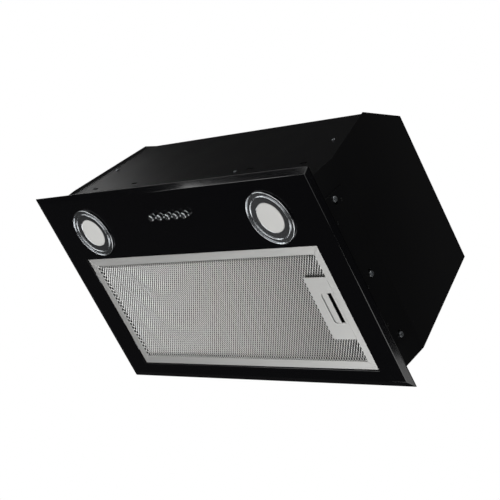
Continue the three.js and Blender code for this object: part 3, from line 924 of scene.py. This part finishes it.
GLAND_LOW, GLAND_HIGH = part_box("cable_gland")
at = middle_of("cable_gland")
foot, head = GLAND_LOW.z / MM, GLAND_HIGH.z / MM
shoulder = foot + 7.3
gland = spun(
    [
        (4, foot + 0.4),
        (4.4, foot),
        (7.7, foot),
        (7.7, shoulder),
        (12, shoulder),
        *bend(11.2, shoulder + 1.9, 0.8, 0, 90),
        (8.8, shoulder + 3),
        *bend(6.2, head - 0.8, 0.8, 0, 90),
        (4.4, head),
        (4, head - 0.4),
    ],
    (at.x, at.y, 0),
    steps=48,
)
bmesh.ops.create_cone(
    gland,
    cap_ends=True,
    segments=6,
    radius1=11.6 * MM,
    radius2=11.0 * MM,
    depth=2.2 * MM,
    matrix=Matrix.Translation((at.x, at.y, (shoulder + 3.1) * MM)),
)
hexagon = [f for f in gland.faces if len(f.verts) == 6]
bmesh.ops.inset_region(gland, faces=hexagon, thickness=7 * MM)
bmesh.ops.delete(gland, geom=hexagon, context="FACES_ONLY")
piece(gland, "cable_gland_turned", "cable_gland", None, ["cable_gland"])
print("collar", round(2 * outer, 1), "mm across,", round(rim - base, 1), "mm high")

# %% [markdown]
# ## Blower, motor and capacitor
#
# These sit inside the casing and show when the filter swings down. The inlet rings are
# moulded bell mouths, the stator is a stack of laminations, drawn as fine grooves, between
# two pressed caps, and the capacitor is a can with a rolled rim.

# %% Blower and motor
for side, s in (("left", -1), ("right", 1)):
    node = f"inlet_ring_{side}"
    low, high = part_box(node)
    radius = (high.z - low.z) / 2 / MM
    inner_x, outer_x = (high.x, low.x) if s < 0 else (low.x, high.x)
    inner_x, outer_x = inner_x / MM, outer_x / MM
    bell = radius - 15
    mouth = [
        (bell, inner_x),
        (bell + 2, inner_x),
        (bell + 2, outer_x - s * 1.2),
        (radius, outer_x - s * 1.2),
        (radius, outer_x - s * 0.4),
        (radius - 0.4, outer_x),
        (bell + 3, outer_x),
        (bell + 1, outer_x - s * 0.8),
        (bell, outer_x - s * 2.6),
    ]
    at = middle_of(node)
    piece(spun(mouth, (0, at.y, at.z), axis="X"), f"{node}_moulded", node, None, [node])

low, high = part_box("motor_stator")
at = middle_of("motor_stator")
radius, bore = (high.z - low.z) / 2 / MM, 4.3
LAMINATIONS = 16
pitch = (high.x - low.x) / MM / LAMINATIONS
stack = [(bore, low.x / MM)]
for i in range(LAMINATIONS):
    x = low.x / MM + i * pitch
    stack += [(radius - 0.4, x), (radius, x + 0.25 * pitch), (radius, x + 0.75 * pitch)]
stack += [(radius - 0.4, high.x / MM), (bore, high.x / MM)]
piece(spun(stack, (0, at.y, at.z), axis="X"), "stator_stack", "motor_stator", None, ["motor_stator"])

low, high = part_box("capacitor")
at = middle_of("capacitor")
radius = (high.x - low.x) / 2 / MM
can = spun(
    [
        (0, low.z / MM + 1),
        (radius - 3, low.z / MM + 1),
        *bend(radius - 1.5, low.z / MM + 1.5, 1.5, -90, 0),
        (radius, high.z / MM - 2),
        *bend(radius - 1, high.z / MM - 1, 1, 0, 90),
        (radius - 2.5, high.z / MM - 1.2),
        (0, high.z / MM - 1.2),
    ],
    (at.x, at.y, 0),
    steps=64,
    closed=False,
)
piece(can, "capacitor_can", "capacitor", None, ["capacitor"])
print("stator of", LAMINATIONS, "drawn laminations")

# %% [markdown]
# ## Screws and rivets
#
# Small pan-head screws hold the sheets together, and pop rivets hold the brackets' inner
# tabs. One screw is spun and has a cross cut into it, and is then copied to each place. The
# cross is two crossed boxes taken away by a Boolean modifier, whose result is read back as a
# mesh, so no live modifier is left.

# %% One screw and one rivet
def cross_headed(radius, height):
    """A mesh of a pan head on the z = 0 plane, facing +Z, with a cross recess."""
    head = spun(
        [
            (0, -0.2),
            (radius, -0.2),
            *bend(radius - 0.6, height - 0.8, 0.6, 0, 60, 3),
            (radius * 0.45, height),
            (0, height),
        ],
        (0, 0, 0),
        steps=24,
        closed=False,
    )
    bmesh.ops.recalc_face_normals(head, faces=head.faces)
    cutter = bmesh.new()
    for size in ((radius * 1.2, radius * 0.26, height), (radius * 0.26, radius * 1.2, height)):
        place = Matrix.Translation((0, 0, height * MM)) @ Matrix.Diagonal([s * MM for s in size] + [1])
        bmesh.ops.create_cube(cutter, size=1, matrix=place)
    objects = []
    for bm, name in ((head, "head"), (cutter, "cutter")):
        mesh = bpy.data.meshes.new(name)
        bm.to_mesh(mesh)
        bm.free()
        made = bpy.data.objects.new(name, mesh)
        bpy.context.scene.collection.objects.link(made)
        objects.append(made)
    boolean = objects[0].modifiers.new("recess", "BOOLEAN")
    boolean.object = objects[1]
    boolean.solver = "EXACT"
    boolean.use_self = True
    graph = bpy.context.evaluated_depsgraph_get()
    result = bpy.data.meshes.new_from_object(objects[0].evaluated_get(graph))
    for made in objects:
        bpy.data.objects.remove(made)
    return result


def set_out(name, node, one, places, facing, finish=None):
    """A piece made of copies of one mesh, each turned to face a direction, at each place."""
    bm = bmesh.new()
    turn = Vector(facing).to_track_quat("Z", "Y").to_matrix().to_4x4()
    for i, place in enumerate(places):
        stray = Matrix.Rotation(math.radians(37 * i), 4, "Z")  # no two crosses line up
        copy = one.copy()
        copy.transform(Matrix.Translation(place) @ turn @ stray)
        bm.from_mesh(copy)
        bpy.data.meshes.remove(copy)
    return piece(bm, name, node, finish)


screw = cross_headed(3.4, 1.9)
small_screw = cross_headed(2.2, 1.3)
rivet_bm = spun([(0, -0.2), (2.2, -0.2), (2.0, 0.5), (1.2, 1.0), (0, 1.1)], (0, 0, 0), steps=16, closed=False)
bmesh.ops.recalc_face_normals(rivet_bm, faces=rivet_bm.faces)
rivet = bpy.data.meshes.new("rivet")
rivet_bm.to_mesh(rivet)
rivet_bm.free()

# %% Set them out
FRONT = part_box("front_wall")[0].y
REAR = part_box("rear_wall")[1].y
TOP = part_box("top_plate")[1].z
front_screws = [Vector((x * MM, FRONT, z * MM)) for x, z in ((-207, 100.5), (207, 100.5), (84, 50))]
set_out("front_wall_screws", "front_wall", small_screw, front_screws, (0, -1, 0), galvanised)
rear_screws = [Vector((x * MM, REAR, z * MM)) for x in (-215, -72, 72, 215) for z in (12, 42)]
rear_screws += [Vector((x * MM, REAR, 228 * MM)) for x in (-150, -50, 50, 150)]
set_out("rear_wall_screws", "rear_wall", small_screw, rear_screws, (0, 1, 0), galvanised)
for side, s in (("left", -1), ("right", 1)):
    node = f"side_bracket_{side}"
    low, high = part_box(node)
    face = high.x if s > 0 else low.x
    in_slots = [Vector((face, y * MM, 24.5 * MM)) for y in (-90, 8, 91)]
    screws = set_out(f"{node}_screws", node, screw, in_slots, (s, 0, 0), galvanised)
    tabs = [Vector((face, y * MM, z * MM)) for y, z in ((-84, 34), (-66, 14), (18, 13), (70, 14))]
    set_out(f"{node}_rivets", node, rivet, tabs, (s, 0, 0), satin_black)
ring = [Vector(((flange_radius - 5) * MM * math.cos(a), 0.026 + (flange_radius - 5) * MM * math.sin(a), 0)) for a in
        [math.radians(45 + 90 * i) for i in range(4)]]
flange_screws = [p + Vector((0, 0, COLLAR_LOW.z + sheet * MM)) for p in ring]
set_out("collar_screws", "outlet_collar", small_screw, flange_screws, (0, 0, 1), galvanised)
top_screws = [Vector((x * MM, y * MM, TOP)) for x in (-160, 0, 160) for y in (-64, 118)]
set_out("top_plate_screws", "top_plate", small_screw, top_screws, (0, 0, 1), galvanised)

# %% [markdown]
# ## Floor, world and lights
#
# The hood hangs in a white studio. The world is white to the camera, but it lights the hood
# only dimly, because gloss black shows whatever it mirrors. The floor is pale and far below,
# and isn't seen in reflections, for the same reason. Large soft boxes give the aluminium its
# brightness, and stand where the face panel doesn't mirror them into the camera.

# %% World
world = bpy.data.worlds.new("studio")
bpy.context.scene.world = world
world.use_nodes = True
tree = world.node_tree
output = tree.nodes["World Output"]
dim = tree.nodes["Background"]
dim.inputs["Color"].default_value = linear("#ffffff")
dim.inputs["Strength"].default_value = 0.035
white = add(tree, "ShaderNodeBackground", {"Color": linear("#ffffff"), "Strength": 1.0})
path = add(tree, "ShaderNodeLightPath")
seen = add(
    tree,
    "ShaderNodeMixShader",
    {0: path.outputs["Is Camera Ray"], 1: dim.outputs["Background"], 2: white.outputs["Background"]},
)
tree.links.new(seen.outputs["Shader"], output.inputs["Surface"])
bpy.context.scene.view_settings.view_transform = "Standard"

# %% Floor
FLOOR_Z = -2.2
floor_material, tree, shader, place = start("pale_studio_floor", "#f0f0ee", 0.9)
tone = add(tree, "ShaderNodeTexNoise", {"Vector": place, "Scale": 2.0, "Detail": 2.0})
shade = add(tree, "ShaderNodeMapRange", {"Value": tone.outputs["Fac"], "To Min": 0.85, "To Max": 0.95})
tree.links.new(shade.outputs["Result"], shader.inputs["Roughness"])
shader.inputs["Emission Color"].default_value = linear("#ffffff")
shader.inputs["Emission Strength"].default_value = 0.55
floor_bm = bmesh.new()
bmesh.ops.create_circle(floor_bm, cap_ends=True, segments=96, radius=8)
bmesh.ops.translate(floor_bm, vec=(0, 0, FLOOR_Z), verts=floor_bm.verts)
floor_mesh = bpy.data.meshes.new("floor")
floor_bm.to_mesh(floor_mesh)
floor_bm.free()
floor_mesh.materials.append(floor_material)
floor = bpy.data.objects.new("floor", floor_mesh)
bpy.context.scene.collection.objects.link(floor)
floor.visible_glossy = False
floor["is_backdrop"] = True


# %% Lights
def soft_box(name, azimuth, elevation, distance, size, power):
    """An area light at a direction from the hood's middle, facing it. Angles are in degrees."""
    a, e = math.radians(azimuth), math.radians(elevation)
    away = Vector((math.cos(a) * math.cos(e), math.sin(a) * math.cos(e), math.sin(e)))
    data = bpy.data.lights.new(name, "AREA")
    data.shape = "RECTANGLE"
    data.size, data.size_y = size
    data.energy = power
    light = bpy.data.objects.new(name, data)
    light.location = away * distance
    light.visible_camera = False
    light.rotation_mode = "QUATERNION"
    light.rotation_quaternion = away.to_track_quat("Z", "Y")
    bpy.context.scene.collection.objects.link(light)
    return light


soft_box("front_key", 312, 14, 2.4, (1.6, 1.6), 22)
soft_box("rear_key", 142, 32, 2.4, (1.6, 1.6), 15)
soft_box("front_left", 228, -14, 2.4, (1.6, 1.6), 14)
soft_box("rear_right", 52, -14, 2.4, (1.6, 1.6), 16)
soft_box("below", 240, -72, 1.5, (1.5, 1.5), 15)
soft_box("below_rear", 112, -48, 1.7, (0.9, 0.8), 8)
soft_box("bevel_strip", 191, -46, 1.6, (0.2, 0.4), 2)
soft_box("left_wall", 194, 27, 1.5, (0.25, 0.25), 0.5)
print("8 soft boxes")

# %% Compare sizes and finish
visual_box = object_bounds()
sizes = {
    "cad": [list(corner) for corner in cad_box],
    "visual": [list(corner) for corner in visual_box],
}
for key, (low, high) in sizes.items():
    print(key, [round(v / MM, 1) for v in low], [round(v / MM, 1) for v in high])
